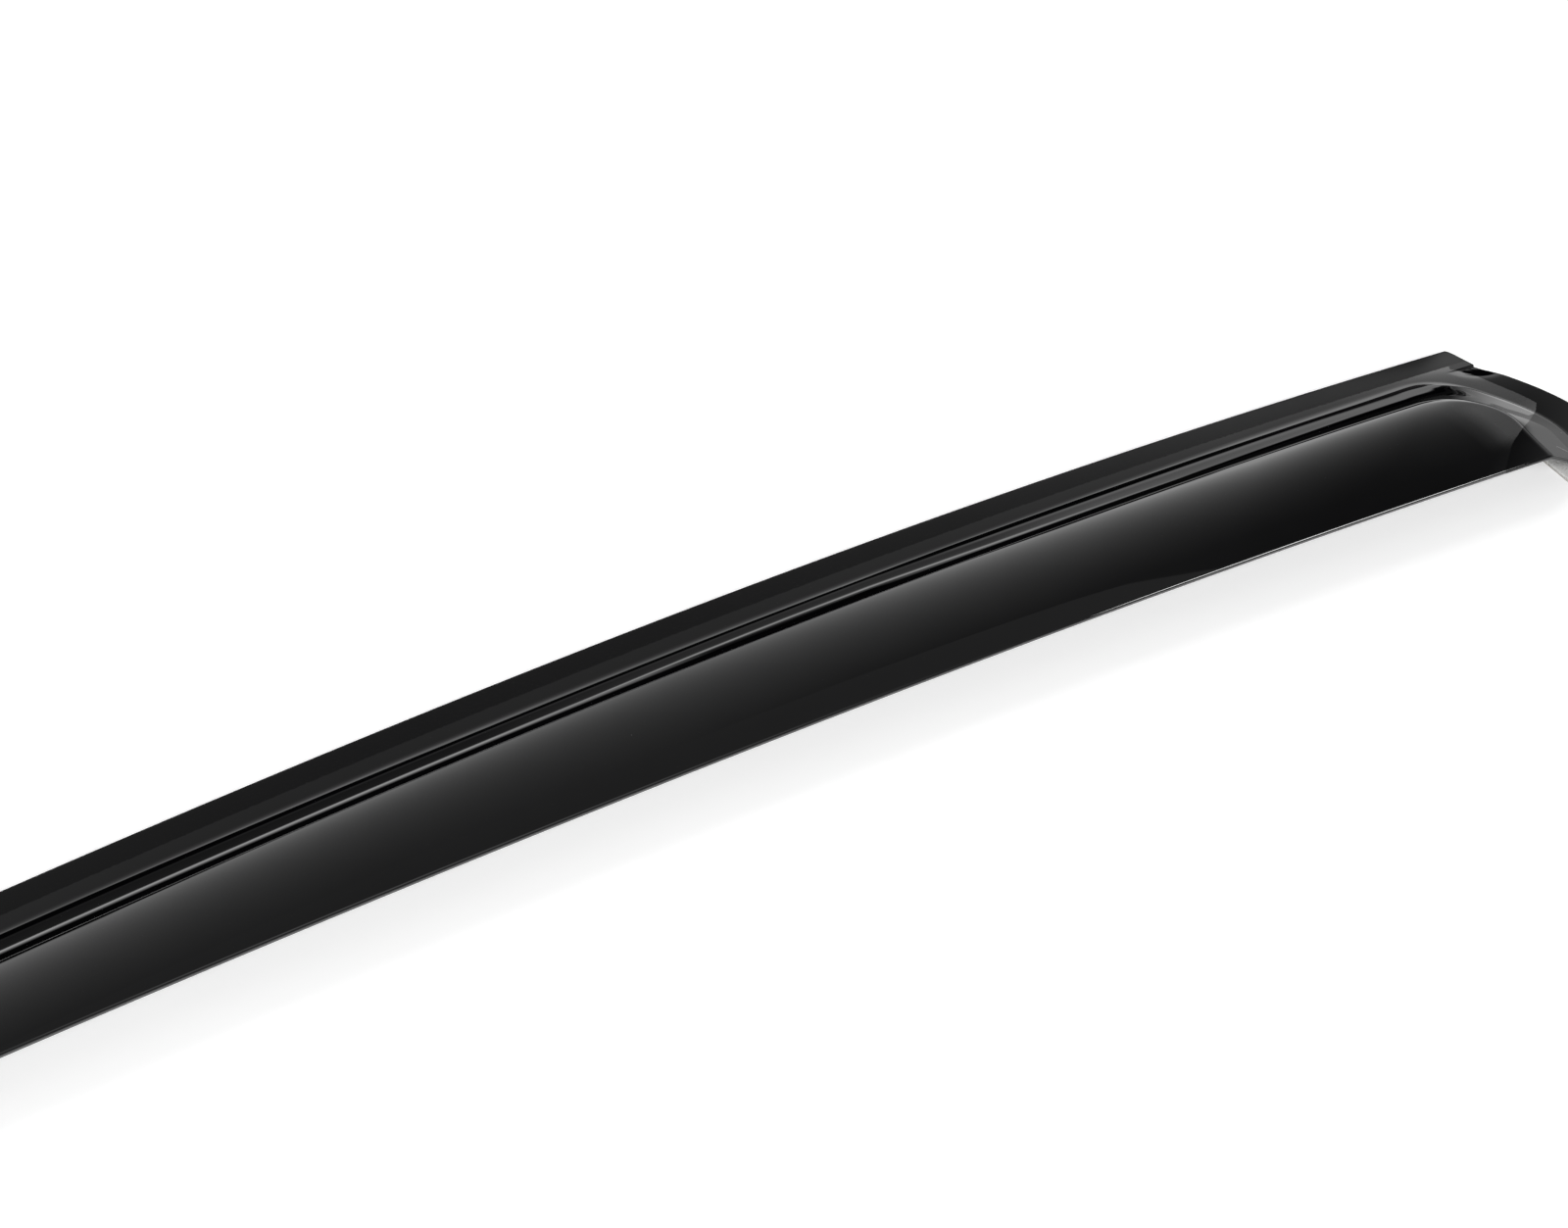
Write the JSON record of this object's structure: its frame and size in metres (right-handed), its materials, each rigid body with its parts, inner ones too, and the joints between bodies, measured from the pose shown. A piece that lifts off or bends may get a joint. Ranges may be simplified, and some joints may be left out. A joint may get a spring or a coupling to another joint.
{
  "type": "window rain deflector",
  "caption": "Smoked visor that is taped above a car's side window, with a flat flange, a crowned shade and one closed end.",
  "frame": {"origin": "middle of the bounding box, on the plane that the tape liners lie on", "axes": "+X along the part, towards the closed end; +Y from the shade towards the mounting flange; +Z out of the polished outer side"},
  "size_m": [0.7914, 0.103, 0.0201],
  "materials": {
    "smoked_acrylic": "polished, nearly opaque dark grey tint, under a clear protective film, with a few dust specks",
    "foam_tape": "matte closed-cell foam",
    "release_liner": "thin coated paper",
    "pale_pad": "soft matte pad"
  },
  "bodies": {
    "root": {"deflector_shell": "smoked_acrylic", "flange_tape": "foam_tape", "flange_liner": "release_liner", "end_tape": "foam_tape", "end_liner": "release_liner", "end_pad": "pale_pad", "pad_liner": "release_liner"}
  },
  "joints": []
}
